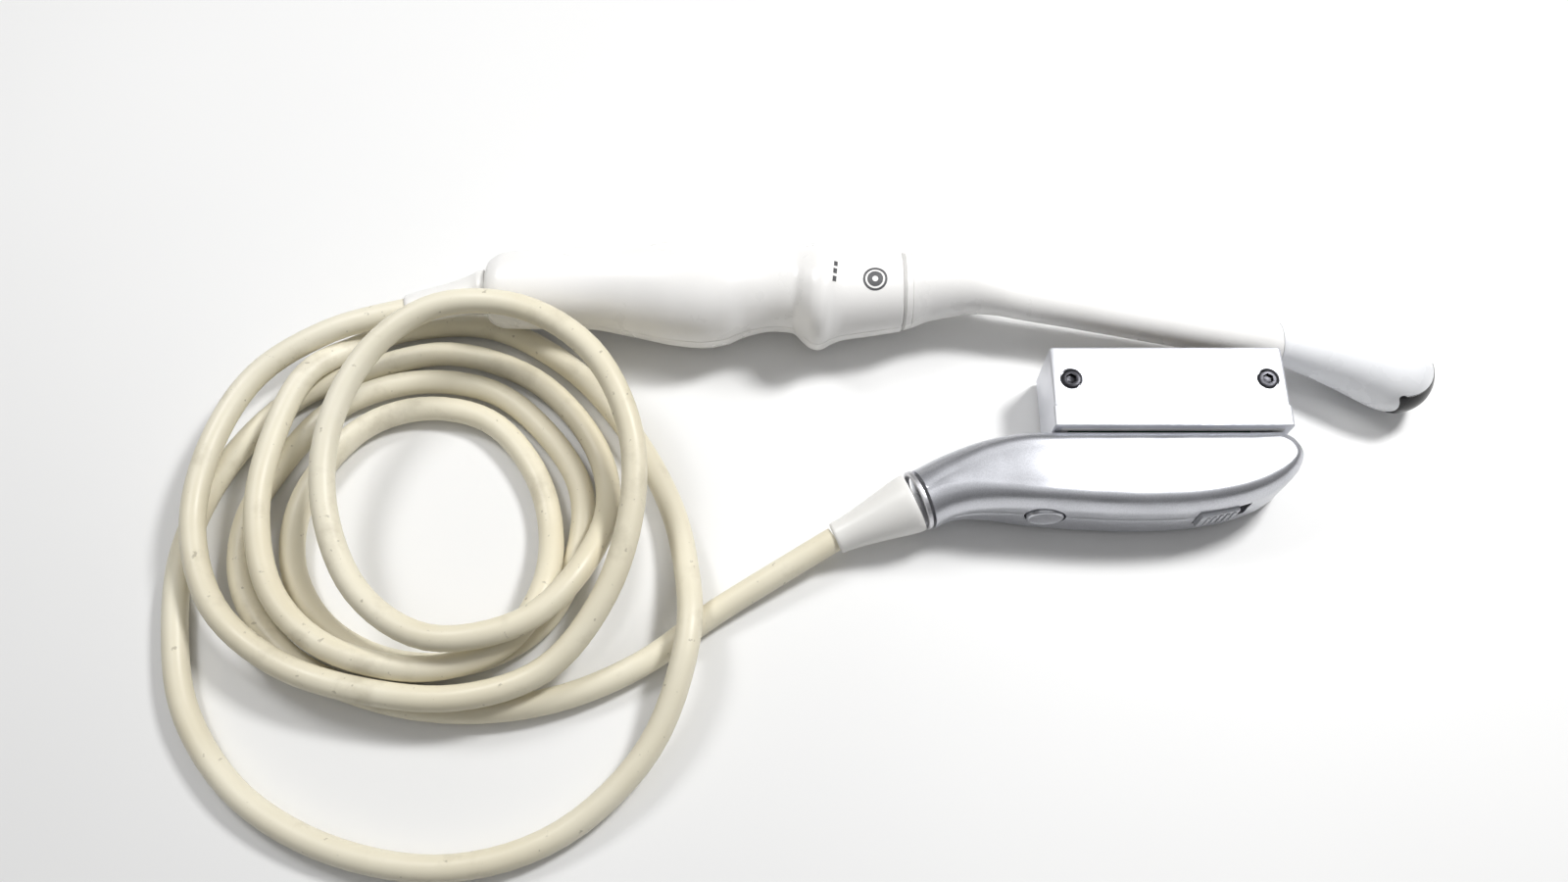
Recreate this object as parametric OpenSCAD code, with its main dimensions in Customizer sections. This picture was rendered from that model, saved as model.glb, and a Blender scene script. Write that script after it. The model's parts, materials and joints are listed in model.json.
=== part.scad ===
// Endocavity ultrasound transducer: handle and insertion tube with a
// micro-convex array at the tip, a free cable laid in loose loops, and a
// compact plug-in system connector.  Millimetres, +X along the handle
// towards the tip, +Z up from the surface that everything lies on.

/* [Probe] */
// Length of the handle from its rear face to the seam ring
handle_len = 128; // [124:1:130]
// Wall of the handle shells
handle_wall = 2.2; // [1.8:0.1:2.6]
// Wall of the insertion tube and head shell
tube_wall = 1.3; // [1:0.1:1.5]
// Radius of the curved array's front face
array_r = 7.4; // [7:0.1:7.8]
// Height of the acoustic window
lens_h = 12; // [10:0.5:13]

/* [Cable] */
// Outer diameter of the cable
cable_d = 7.4; // [6.8:0.1:7.6]

/* [Connector] */
// Width of the metal nose
nose_w = 69; // [66:1:70]
// Height of the metal nose
nose_h = 23; // [21:0.5:24]
// Wall of the metal nose
nose_wall = 1.6; // [1.2:0.1:2]
// Wall of the two connector covers
cover_wall = 2; // [1.6:0.1:2.4]
// Radius of the guide bore in the contact block
guide_bore_r = 1.6; // [1.2:0.1:2]
// Radius of the release button
button_r = 5.4; // [4.5:0.1:5.6]
// Contacts in each of the two rows
contacts_per_row = 26; // [10:1:28]

/* [Hidden] */

sides = 32;
cable_r = cable_d / 2;

// ---- the probe's axis and outline -------------------------------------
probe_x = -131.2;
probe_y = 11.1;
handle_z = 16.8;
head_z = 11.5;
head_x = 277.5;
tube_end_x = 243;
tube_end_y = -16;
tube_yaw = -10.3;
tube_pitch = 2.1;
head_y = -26.2;
head_r = 11.5;
lens_yaw = -45;
// each station: distance from the rear face, sideways shift, half width
HANDLE = [[0, 0, 8.6], [1.5, 0, 10.4], [5, 0.4, 11.8], [17, 0.8, 12.3], [30, 1.2, 12.7],
    [45, 0.3, 14.5], [58, -0.7, 16.2], [70, -0.9, 16.5], [79, 0.6, 14.6], [88, 1.2, 13.4],
    [96, 0.5, 13.8], [100, -1.2, 16.2], [103, -1.6, 16.7], [106, -1.5, 15.6], [109, -1.4, 14],
    [118, -0.8, 13.1], [127.4, -0.2, 12.2]];
TUBE = [[128.2, 0, 12], [137, 2.2, 10.8], [147, 2.8, 9.4], [155, 1, 7.6], [163, -1.5, 6.4],
    [178, -4.2, 6.4], [220, -11.8, 6.5], [tube_end_x, tube_end_y, 6.7]];
HEAD = [[243.2, tube_end_y, 6.7], [252, -18.6, 7.5], [260, -21.2, 8.8], [268, -24.2, 10.2],
    [273, -25.7, 11.1], [277.5, head_y, head_r], [281, head_y, 10.9], [284.5, head_y, 9.1],
    [287, head_y, 6.4], [288.6, head_y, 3]];

function axis_z(x) = x < handle_len ? handle_z
    : handle_z + (head_z - handle_z) * (x - handle_len) / (head_x - handle_len);
// one ring of a loft: half width and half height are equal, less the inset
function ring(st, inset, a0, a1, n) = [for (k = [0:n]) let (a = a0 + (a1 - a0) * k / n)
    [probe_x + st[0], probe_y + st[1] + (st[2] - inset) * cos(a),
     axis_z(st[0]) + (st[2] - inset) * sin(a)]];
function flat(v) = [for (a = v) for (b = a) b];
// triangles that join m points of one section to the next, all round
function skin(n, m) = [for (i = [0:n - 2]) for (j = [0:m - 1])
    let (a = i * m + j, b = (i + 1) * m + j, c = (i + 1) * m + (j + 1) % m, d = i * m + (j + 1) % m)
        for (t = [[a, b, c], [a, c, d]]) t];
function mean(v) = [for (p = v) 1] * v / len(v);
// closes the section that starts at point s with a fan round point c
function fan_cap(s, m, c) = [for (j = [0:m - 1]) [c, s + j, s + (j + 1) % m]];
// closes a section of the connector's body with rungs from its near wall to its far wall
function rung_cap(s, m) = concat([[s, s + 1, s + 2]], [for (i = [0:(m - 3) / 2 - 1])
    let (a = s + 2 + i, b = s + (m - i) % m, c = s + m - 1 - i) for (t = [[a, a + 1, c], [a, c, b]]) t]);
function turned(faces) = [for (f = faces) [f[2], f[1], f[0]]];
// a lofted solid from closed sections that all have the same point count
module loft(sections) {
    m = len(sections[0]);
    n = len(sections);
    ends = [mean(sections[0]), mean(sections[n - 1])];
    polyhedron(points = concat(flat(sections), ends), convexity = 6,
        faces = concat(fan_cap(0, m, n * m), skin(n, m), turned(fan_cap((n - 1) * m, m, n * m + 1))));
}
module body_loft(sections) {
    m = len(sections[0]);
    n = len(sections);
    polyhedron(points = flat(sections), convexity = 6,
        faces = concat(rung_cap(0, m), skin(n, m), turned(rung_cap((n - 1) * m, m))));
}
function full_ring(st, inset) = [for (p = [0:sides - 1]) ring(st, inset, 0, 360, sides)[p]];
module solid_of(stations, inset) {
    loft([for (st = stations) full_ring(st, inset)]);
}
// moves to the tube's tip end, with +X along the tube's axis towards the head
module at_tube() {
    translate([probe_x + tube_end_x, probe_y + tube_end_y, axis_z(tube_end_x)])
        rotate([0, tube_pitch, tube_yaw])
            children();
}
// moves to the array's centre, with +X out through the lens
module at_array() {
    translate([probe_x + head_x, probe_y + head_y, head_z])
        rotate([0, 0, lens_yaw])
            children();
}
module x_cylinder(x0, x1, r) {
    translate([x0, 0, 0])
        rotate([0, 90, 0])
            cylinder(h = x1 - x0, r = r, $fn = 48);
}

// ---- handle -----------------------------------------------------------
// the whole handle as one hollow sleeve, open at both ends
module handle_sleeve() {
    difference() {
        solid_of(HANDLE, 0);
        loft([for (st = HANDLE) full_ring(st[0] < 1 ? [-1, st[1], st[2]]
            : st[0] > 127 ? [st[0] + 1, st[1], st[2]] : st, handle_wall)]);
    }
}
module handle_upper_shell() {
    color("white")
        difference() {
            handle_sleeve();
            translate([probe_x - 5, probe_y - 30, handle_z - 40]) cube([handle_len + 10, 60, 40]);
        }
}
module handle_lower_shell() {
    color("white")
        difference() {
            handle_sleeve();
            translate([probe_x - 5, probe_y - 30, handle_z]) cube([handle_len + 10, 60, 40]);
        }
}
// soft bead between the handle and the tube
module seam_ring() {
    color("gainsboro")
        translate([probe_x + 127.4, probe_y, handle_z])
            rotate([0, 90, 0])
                difference() {
                    cylinder(h = 0.8, r = 12.3, $fn = 64);
                    translate([0, 0, -1]) cylinder(h = 3, r = 9.8, $fn = 64);
                }
}
tab_len = 6;
tab_r = 1.3;
module guide_tab() {
    color("white")
        translate([probe_x + 116, probe_y - 0.8 + 13, handle_z + 1])
            x_cylinder(0, tab_len, tab_r);
}

// ---- insertion tube and head ------------------------------------------
module insertion_tube() {
    color("white")
        difference() {
            solid_of(TUBE, 0);
            loft([for (st = TUBE) full_ring(st[0] < 130 ? [127, st[1], st[2]]
                : st[0] > 240 ? [st[0] + 1, st[1], st[2]] : st, tube_wall)]);
        }
}
lens_half_w = 8.6;
lens_x0 = 4.5;
lens_proud = 0.2;
module lens_window(h, w) {
    at_array()
        translate([lens_x0, -w, -h / 2])
            cube([20, 2 * w, h]);
}
module head_shell() {
    color("ghostwhite")
        difference() {
            solid_of(HEAD, 0);
            loft([for (st = HEAD) full_ring(st[0] < 244 ? [242, st[1], st[2]] : st,
                st[0] < 288 ? tube_wall : 2)]);
            lens_window(lens_h, lens_half_w);
        }
}
module array_cylinder(r, h) {
    at_array()
        translate([0, 0, -h / 2])
            cylinder(h = h, r = r, $fn = 64);
}
module acoustic_lens() {
    color("dimgray")
        difference() {
            intersection() {
                solid_of(HEAD, -lens_proud);
                lens_window(lens_h - 0.1, lens_half_w - 0.05);
            }
            array_cylinder(array_r, lens_h + 2);
        }
}
layer_h = 10;
layer_t = 0.5;
piezo_t = 0.9;
array_angle = 76;
// a curved layer of the array, between two radii, facing the lens
module array_layer(r_in, r_out, h) {
    at_array()
        translate([0, 0, -h / 2])
            rotate([0, 0, -array_angle / 2])
                rotate_extrude(angle = array_angle, $fn = 96)
                    translate([r_in, 0]) square([r_out - r_in, h]);
}
module matching_layer() {
    color("goldenrod") array_layer(array_r - layer_t, array_r, layer_h);
}
module piezo_array() {
    color("darkkhaki") array_layer(array_r - layer_t - piezo_t, array_r - layer_t, layer_h - 1);
}
module backing_block() {
    color("darkslategray") array_layer(1.5, array_r - layer_t - piezo_t, layer_h - 2);
}
flex_t = 0.3;
flex_w = 7;
module array_flex() {
    color("orange")
        for (side = [-1, 1])
            at_tube()
                translate([-6, -flex_w / 2 - 0.5, side * 1.6 - flex_t / 2])
                    cube([34, flex_w, flex_t]);
}
shield_r = 4.7;
shield_len = 76;
module shield_tube() {
    color("silver")
        at_tube()
            difference() {
                x_cylinder(-shield_len, -6.6, shield_r);
                x_cylinder(-shield_len - 1, -6, shield_r - 0.5);
            }
}
module coax_harness() {
    color("slategray") at_tube() x_cylinder(-shield_len - 12, -6.3, 3.4);
}

// ---- inside the handle ------------------------------------------------
chassis_x0 = 40;
chassis_x1 = 108;
chassis_w = 17;
board_t = 1.6;
chassis_drop = 5;
chassis_screw_x = [46, 102];
module in_handle() {
    translate([probe_x, probe_y, handle_z]) children();
}
// open tray that carries the board on two end posts
module handle_chassis() {
    color("lightgray")
        in_handle()
            difference() {
                translate([chassis_x0, -chassis_w / 2, -chassis_drop])
                    cube([chassis_x1 - chassis_x0, chassis_w, chassis_drop]);
                translate([chassis_x0 + 12, -chassis_w / 2 - 1, -chassis_drop + 1.6])
                    cube([chassis_x1 - chassis_x0 - 24, chassis_w + 2, chassis_drop]);
                for (x = chassis_screw_x)
                    translate([x, 0, -chassis_drop + 1])
                        cylinder(h = chassis_drop, r = 1, $fn = 24);
            }
}
module handle_board() {
    color("seagreen")
        in_handle()
            difference() {
                translate([chassis_x0, -chassis_w / 2, 0])
                    cube([chassis_x1 - chassis_x0, chassis_w, board_t]);
                for (x = chassis_screw_x)
                    translate([x, 0, -1])
                        cylinder(h = board_t + 2, r = 1.1, $fn = 24);
            }
}
module board_sockets() {
    color("beige")
        in_handle()
            for (x = [52, 76])
                translate([x, -chassis_w / 2 + 2, board_t])
                    cube([20, chassis_w - 4, 3.2]);
}
module pan_screw(shank, shank_r, head_r, head_h) {
    translate([0, 0, -shank]) cylinder(h = shank, r = shank_r, $fn = 24);
    difference() {
        cylinder(h = head_h, r = head_r, $fn = 32);
        translate([0, 0, head_h / 2]) cylinder(h = head_h, r = head_r * 0.45, $fn = 6);
    }
}
module chassis_screws() {
    color("silver")
        in_handle()
            for (x = chassis_screw_x)
                translate([x, 0, board_t]) pan_screw(5, 0.95, 1.9, 1.3);
}
module handle_wires() {
    color("slategray") in_handle() x_cylinder(14.5, chassis_x0 - 0.3, 3);
}
module handle_clamp() {
    color("silver")
        in_handle()
            difference() {
                x_cylinder(6.5, 14, 6.8);
                x_cylinder(6, 15, 3.2);
            }
}

// ---- strain reliefs and cable -----------------------------------------
boot_grip_r = 6.2;
// a moulded boot of revolution: flange inside, taper outside, cable end at +Z
module boot(length, root_r, end_r, flange_r) {
    rotate_extrude($fn = 64)
        polygon([[0, -5], [flange_r, -5], [flange_r, -2.4], [boot_grip_r, -2.4], [boot_grip_r, 0],
            [root_r, 0.2], [root_r, 2.4], [root_r * 0.86, length * 0.22],
            [(root_r + end_r) / 2 * 0.95, length * 0.5], [end_r + 0.4, length * 0.8],
            [end_r, length - 0.6], [end_r - 0.4, length], [0, length]]);
}
handle_boot_len = 26;
module handle_boot() {
    color("white")
        translate([probe_x, probe_y, handle_z])
            rotate([0, -90 - boot_drop, boot_yaw])
                boot(handle_boot_len, 7, cable_r + 0.7, boot_grip_r);
}
boot_drop = 4;
boot_yaw = 12;

// the cable's centre line, from the handle's boot to the connector's boot
ROUTE = [
    [-156.6, 5.7, 15], [-180, -1, 14], [-201, -15, 12], [-211, -38, 12], [-212, -64, 12],
    [-202, -88, 12], [-182, -104, 12], [-157, -112, 12], [-130, -114, 12], [-106, -106, 13],
    [-90, -86, 18], [-83, -61, 23], [-85, -37, 26], [-97, -15, 29], [-118, -2, 31],
    [-143, -1, 30], [-162, -14, 27], [-172, -37, 24], [-171, -62, 21], [-159, -86, 20],
    [-138, -99, 20], [-113, -95, 20], [-98, -79, 17], [-92, -56, 8], [-99, -33, 4],
    [-118, -13, 4], [-145, -4, 4], [-171, -10, 4], [-193, -21, 4], [-209, -42, 4],
    [-217, -68, 4], [-215, -94, 4], [-207, -118, 4], [-188, -140, 4], [-160, -154, 4],
    [-129, -158, 4], [-100, -149, 4], [-77, -127, 8], [-67, -98, 13], [-69, -72, 7],
    [-76, -50, 4], [-90, -27, 4], [-108, -8, 4], [-132, 5, 4], [-157, 5, 4],
    [-173, -3, 7], [-186, -15, 12], [-193, -36, 12], [-194, -60, 12], [-186, -84, 12],
    [-168, -100, 12], [-142, -106, 12], [-120, -100, 12], [-109, -84, 12], [-109, -63, 5],
    [-116, -43, 4], [-131, -27, 4], [-152, -23, 4], [-171, -31, 4], [-184, -52, 4],
    [-184, -74, 4], [-172, -92, 4], [-152, -102, 4], [-129, -102, 4], [-110, -91, 4],
    [-101, -71, 4], [-101, -50, 4], [-113, -31, 4], [-131, -17, 4], [-155, -14, 4],
    [-177, -22, 4], [-191, -39, 4], [-200, -60, 4], [-197, -82, 4], [-181, -101, 4],
    [-157, -112, 4], [-131, -116, 4], [-105, -113, 4], [-81, -103, 4], [-59, -87, 4],
    [-25.2, -66.7, 8]];
cable_sides = 10;
function unit(v) = v / norm(v);
function heading(i) = unit(ROUTE[min(i + 1, len(ROUTE) - 1)] - ROUTE[max(i - 1, 0)]);
// one ring of the cable, square to its heading, with one axis kept level
function cable_ring(i) = let (t = heading(i), u = unit(cross([0, 0, 1], t)), v = cross(t, u))
    [for (k = [0:cable_sides - 1]) let (a = 360 * k / cable_sides)
        ROUTE[i] + cable_r * (cos(a) * u + sin(a) * v)];
module cable() {
    color("wheat") loft([for (i = [0:len(ROUTE) - 1]) cable_ring(i)]);
}

// ---- connector --------------------------------------------------------
cover_z = 12.5;
neck_k = 0.74;
neck_run = 34;
neck_x = 0;
neck_y = -56;
neck_yaw = 23;
neck_drop = 10;
nose_x = 39;
nose_y = -37;
nose_z = 1.5;
nose_len = 25;
// outline of the connector's body seen from above, anticlockwise: the neck's end, then as many
// points along the near wall to the right end as along the far wall back from it
BODY = [[-2.6, -47.8], [0.8, -56], [4.2, -64.2], [9, -61.8], [15, -60.5], [24, -60.4], [36, -61.3],
    [50, -62.3], [64, -62.7], [78, -62.1], [90, -60.1], [99, -57.2], [105.3, -53.6], [109.4, -49.6],
    [111.2, -45.6], [110.6, -42.4], [108.9, -39.9], [106.4, -38.3], [103.6, -37.8], [92, -37.8],
    [80, -37.8], [68, -37.8], [54, -37.8], [40, -37.8], [28, -38], [17, -39.6], [6, -43.4]];
function edge_normal(i) = let (n = len(BODY), d = unit(BODY[(i + 1) % n] - BODY[i % n])) [d[1], -d[0]];
// outward at a corner, as long as keeps both of its edges at the same inset
function body_normal(i) = let (a = edge_normal(i + len(BODY) - 1), b = edge_normal(i)) (a + b) / (1 + a * b);
function height_k(x) = neck_k + (1 - neck_k) * min(1, max(0, x - neck_x) / neck_run);
// the outline drawn in by an inset, at a height that shrinks towards the neck
function body_ring(z, inset) = [for (i = [0:len(BODY) - 1]) let (p = BODY[i] - inset * body_normal(i))
    [p[0], p[1], cover_z + (z - cover_z) * height_k(p[0])]];
// rolled edges, as height and inset pairs
OUTSIDE = [[0, 3], [1, 1], [3, 0.2], [8, 0], [17, 0], [20, 0.4], [22, 1.2], [24.2, 2.8], [25, 4.5]];
INSIDE = [[2.2, 3.4], [4, 2.2], [9, 2], [16, 2], [19, 2.3], [21.4, 3.4], [22.8, 4.6]];
module body_of(levels) {
    body_loft([for (l = levels) body_ring(l[0], l[1])]);
}
module body_shell() {
    difference() {
        body_of(OUTSIDE);
        body_of(INSIDE);
    }
}
window_x0 = 43;
window_x1 = 103.2;
// the way through the far wall for the board and the contact block
module nose_window() {
    translate([window_x0, nose_y - 8, 5])
        cube([window_x1 - window_x0, 12, 16]);
}
button_x = 36;
button_y = -61.3;
button_z = 12.5;
slider_x = 86;
slider_y = -61;
slider_yaw = 13;
slider_w = 12;
slider_h = 8;
slider_gap = 3.4;
module at_button() {
    translate([button_x, button_y, button_z]) rotate([-90, 0, 0]) children();
}
// +X along the wall towards the connector's end, +Y into the body
module at_slider() {
    translate([slider_x, slider_y, button_z]) rotate([0, 0, slider_yaw]) children();
}
module wall_openings() {
    at_button() translate([0, 0, -4]) cylinder(h = 10, r = button_r + 0.3, $fn = 48);
    at_slider()
        translate([-slider_w / 2 - 0.35, -5, -slider_h / 2 - 0.35])
            cube([slider_w + slider_gap + 0.7, 10, slider_h + 0.7]);
}
CASE_SCREWS = [[37.5, -42.2], [104.6, -46], [62, -57]];
BOARD_SCREWS = [[34, -49.4], [97, -49.4]];
board_z = 10;
case_boss_r = 2.8;
case_boss_top = 23.2;
case_seat_z = 2.6;
case_screw_len = 15.8;
module neck_mouth() {
    translate([neck_x, neck_y, cover_z])
        rotate([0, 0, neck_yaw])
            x_cylinder(-8, 8, boot_grip_r + 0.1);
}
module connector_upper_cover() {
    color("silver")
        difference() {
            union() {
                difference() {
                    body_shell();
                    translate([-20, -80, -20]) cube([160, 60, cover_z + 20]);
                }
                for (p = CASE_SCREWS)
                    translate([p[0], p[1], cover_z + 1])
                        cylinder(h = case_boss_top - cover_z - 1, r = case_boss_r, $fn = 32);
            }
            for (p = CASE_SCREWS)
                translate([p[0], p[1], cover_z]) cylinder(h = 6.9, r = 1.25, $fn = 24);
            nose_window();
            wall_openings();
            neck_mouth();
        }
}
module connector_lower_cover() {
    color("silver")
        difference() {
            union() {
                difference() {
                    body_shell();
                    translate([-20, -80, cover_z]) cube([160, 60, 20]);
                }
                for (p = CASE_SCREWS)
                    translate([p[0], p[1], 1.2])
                        cylinder(h = cover_z - 0.4, r = case_boss_r, $fn = 32);
                for (p = BOARD_SCREWS)
                    translate([p[0], p[1], 1]) cylinder(h = board_z - 1, r = 2.4, $fn = 32);
            }
            for (p = CASE_SCREWS)
                translate([p[0], p[1], -1]) {
                    cylinder(h = case_seat_z + 1, r = 2.3, $fn = 32);
                    cylinder(h = 16, r = 1.4, $fn = 24);
                }
            for (p = BOARD_SCREWS)
                translate([p[0], p[1], 4]) cylinder(h = 10, r = 0.95, $fn = 24);
            nose_window();
            wall_openings();
            neck_mouth();
        }
}
module case_screws() {
    color("dimgray")
        for (p = CASE_SCREWS)
            translate([p[0], p[1], case_seat_z])
                mirror([0, 0, 1]) pan_screw(case_screw_len, 1.2, 2.1, 1.6);
}
NOSE_SCREWS = [[44.6, -22.5], [102.6, -22.5]];
nose_screw_r = 3;
// open rectangular shell around the contacts, its mouth towards +Y
module nose_housing() {
    color("lightsteelblue")
        difference() {
            union() {
                translate([nose_x, nose_y, nose_z]) cube([nose_w, nose_len, nose_h]);
                translate([nose_x - 0.4, nose_y, nose_z - 0.4]) cube([nose_w + 0.8, 6, nose_h + 0.8]);
            }
            translate([nose_x + nose_wall, nose_y - 1, nose_z + nose_wall])
                cube([nose_w - 2 * nose_wall, nose_len + 2, nose_h - 2 * nose_wall]);
            for (p = NOSE_SCREWS)
                translate([p[0], p[1], nose_z + nose_h - 3]) {
                    cylinder(h = 5, r = 1.6, $fn = 32);
                    translate([0, 0, 2.2]) cylinder(h = 2, r = nose_screw_r + 0.2, $fn = 40);
                }
        }
}
module nose_gasket() {
    color("dimgray")
        difference() {
            translate([nose_x + 2, nose_y - 0.8, nose_z + 2]) cube([nose_w - 4, 0.8, nose_h - 4]);
            translate([window_x0, nose_y - 3, 5]) cube([window_x1 - window_x0, 5, 16]);
        }
}
block_x0 = 42;
block_x1 = 105.5;
block_y0 = -30;
block_y1 = -18;
block_z0 = 4.6;
block_z1 = 21.4;
guide_x = 46.5;
guide_z = 6.8;
guide_len = 8;
module nose_screws() {
    color("black")
        for (p = NOSE_SCREWS)
            translate([p[0], p[1], nose_z + nose_h - 0.8]) {
                translate([0, 0, -3.2]) cylinder(h = 3.2, r = 1.5, $fn = 24);
                difference() {
                    cylinder(h = 1, r = nose_screw_r, $fn = 40);
                    cylinder(h = 2, r = 1.5, $fn = 6);
                }
            }
}
module contact_block() {
    color("darkslategray")
        difference() {
            translate([block_x0, block_y0, block_z0])
                cube([block_x1 - block_x0, block_y1 - block_y0, block_z1 - block_z0]);
            translate([guide_x, block_y1 - guide_len, guide_z])
                rotate([-90, 0, 0]) cylinder(h = guide_len + 1, r = guide_bore_r, $fn = 48);
            for (p = NOSE_SCREWS)
                translate([p[0], p[1], block_z1 - 1.5]) cylinder(h = 4, r = 1.55, $fn = 24);
        }
}
contact_pitch = 1.8;
module contact_pads() {
    color("gold")
        for (row = [-1, 1])
            for (k = [0:contacts_per_row - 1])
                translate([(block_x0 + block_x1) / 2 + (k - (contacts_per_row - 1) / 2) * contact_pitch - 0.5,
                        block_y1, button_z + 0.5 + row * 4 - 1.6])
                    cube([1, 0.4, 3.2]);
}
module connector_board() {
    color("seagreen")
        difference() {
            translate([30, -53, board_z]) cube([14, 7, board_t]);
            for (p = BOARD_SCREWS)
                translate([p[0], p[1], board_z - 1]) cylinder(h = 4, r = 1.1, $fn = 24);
        }
    color("seagreen")
        difference() {
            translate([44, -53, board_z]) cube([56, 53 + block_y0, board_t]);
            for (p = BOARD_SCREWS)
                translate([p[0], p[1], board_z - 1]) cylinder(h = 4, r = 1.1, $fn = 24);
        }
}
module board_chips() {
    color("black")
        for (x = [50, 66, 80])
            translate([x, -51, board_z + board_t]) cube([9, 9, 1.6]);
}
module board_screws() {
    color("silver")
        for (p = BOARD_SCREWS)
            translate([p[0], p[1], board_z + board_t]) pan_screw(7, 0.9, 1.9, 1.3);
}
// +Z out of the connector along the cable
module at_neck() {
    translate([neck_x, neck_y, cover_z])
        rotate([0, 0, neck_yaw])
            rotate([0, -90, 0])
                children();
}
connector_boot_len = 25.6;
module connector_boot() {
    color("white")
        at_neck()
            translate([0, 0, 1.9])
                rotate([0, -neck_drop, 0])
                    boot(connector_boot_len, 8.8, cable_r + 0.7, boot_grip_r);
}
module neck_ring() {
    color("whitesmoke")
        at_neck()
            difference() {
                cylinder(h = 1.4, r = 9.2, $fn = 64);
                translate([0, 0, -1]) cylinder(h = 4, r = 7.6, $fn = 64);
            }
}
module connector_clamp() {
    color("silver")
        at_neck()
            translate([0, 0, -13])
                difference() {
                    cylinder(h = 8, r = 5.4, $fn = 48);
                    translate([0, 0, -1]) cylinder(h = 10, r = 3.2, $fn = 48);
                }
}
module connector_wires() {
    color("slategray") at_neck() translate([0, 0, -30]) cylinder(h = 23, r = 3, $fn = 32);
}

// ---- the two controls on the connector's near wall --------------------
button_proud = 0.9;
button_travel = 1.5;
module release_button() {
    color("silver")
        at_button() {
            translate([0, 0, -button_proud]) cylinder(h = 4.4, r = button_r, $fn = 48);
            translate([0, 0, 3.4]) cylinder(h = 1.2, r = 2.4, $fn = 32);
        }
}
// coil between the button and a pad on the board's edge, as one plain sleeve
module button_spring() {
    color("silver")
        at_button()
            translate([0, 0, 4.7])
                difference() {
                    cylinder(h = 2.3, r = 2.2, $fn = 32);
                    translate([0, 0, -1]) cylinder(h = 5, r = 1.5, $fn = 32);
                }
}
module lock_slider() {
    color("gray")
        at_slider() {
            translate([-slider_w / 2, -1, -slider_h / 2]) cube([slider_w, 3, slider_h]);
            for (k = [0:4])
                translate([-slider_w / 2 + 2 + 2 * k, -1.4, -slider_h / 2 + 1]) cube([0.8, 0.5, slider_h - 2]);
        }
}
module lock_hook() {
    color("silver")
        at_slider() translate([-5, 2, -1.2]) cube([10, 2.6, 2.4]);
}

handle_upper_shell();
handle_lower_shell();
seam_ring();
guide_tab();
insertion_tube();
head_shell();
acoustic_lens();
matching_layer();
piezo_array();
backing_block();
array_flex();
shield_tube();
coax_harness();
handle_chassis();
handle_board();
board_sockets();
chassis_screws();
handle_wires();
handle_clamp();
handle_boot();
cable();
connector_boot();
neck_ring();
connector_upper_cover();
connector_lower_cover();
nose_housing();
nose_gasket();
nose_screws();
contact_block();
contact_pads();
connector_board();
board_chips();
board_screws();
case_screws();
connector_clamp();
connector_wires();
release_button();
button_spring();
lock_slider();
lock_hook();
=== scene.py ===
"""Endocavity ultrasound transducer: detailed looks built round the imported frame."""

import json
import math

import bmesh
import bpy
from mathutils import Matrix, Vector


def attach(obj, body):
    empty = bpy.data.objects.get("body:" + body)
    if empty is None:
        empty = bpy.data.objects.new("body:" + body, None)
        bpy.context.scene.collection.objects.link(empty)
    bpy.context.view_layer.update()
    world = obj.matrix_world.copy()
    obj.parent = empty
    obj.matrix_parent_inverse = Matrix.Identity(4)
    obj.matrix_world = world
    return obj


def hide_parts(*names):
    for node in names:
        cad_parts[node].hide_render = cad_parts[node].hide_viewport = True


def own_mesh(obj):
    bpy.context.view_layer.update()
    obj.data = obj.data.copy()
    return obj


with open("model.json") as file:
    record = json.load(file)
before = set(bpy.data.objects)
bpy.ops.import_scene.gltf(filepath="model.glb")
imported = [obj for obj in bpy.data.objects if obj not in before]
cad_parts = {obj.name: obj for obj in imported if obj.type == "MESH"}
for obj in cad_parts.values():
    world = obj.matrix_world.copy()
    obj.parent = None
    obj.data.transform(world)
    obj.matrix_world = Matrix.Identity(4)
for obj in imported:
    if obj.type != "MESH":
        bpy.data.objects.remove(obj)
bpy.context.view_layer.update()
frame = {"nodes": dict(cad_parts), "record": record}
MM = 0.001
BODY = "probe"

# the probe's axis, as in the part's source, in millimetres
PX, PY = -131.2, 11.1
HANDLE_Z, HEAD_Z, HANDLE_LEN, HEAD_X = 16.8, 11.5, 128.0, 277.5
# stations: distance from the rear face, sideways shift, radius
HANDLE = [
    (0, 0, 8.6), (0.5, 0, 9.6), (1.5, 0, 10.4), (3, 0.2, 11.2), (5, 0.4, 11.8), (17, 0.8, 12.3),
    (30, 1.2, 12.7), (45, 0.3, 14.5), (58, -0.7, 16.2), (66, -1.0, 16.6), (73, -0.5, 16.1),
    (80, 0.8, 14.5), (88, 1.2, 13.4), (94, 0.8, 13.6), (98, -0.5, 15.2), (101, -1.4, 16.4),
    (103, -1.6, 16.7), (105, -1.6, 16.2), (107, -1.5, 15), (110, -1.3, 13.9), (118, -0.8, 13.1),
    (127.4, -0.2, 12.2),
]
TUBE = [
    (128.2, 0, 12), (130, 0.5, 11.9), (137, 2.2, 10.8), (147, 2.8, 9.4), (155, 1, 7.6), (163, -1.5, 6.5),
    (178, -4.2, 6.4), (220, -11.8, 6.5), (243, -16, 6.7), (252, -18.6, 7.5), (260, -21.2, 8.8),
    (268, -24.2, 10.2), (273, -25.7, 11.1), (277.5, -26.2, 11.5),
]
TUBE_END, HEAD_START, TIP_LEN = 242.95, 243.15, 11.6


# ---- small helpers ---------------------------------------------------------
def mix(a, b, t):
    return a + (b - a) * t


def smooth(t):
    t = min(1.0, max(0.0, t))
    return t * t * (3 - 2 * t)


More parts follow.
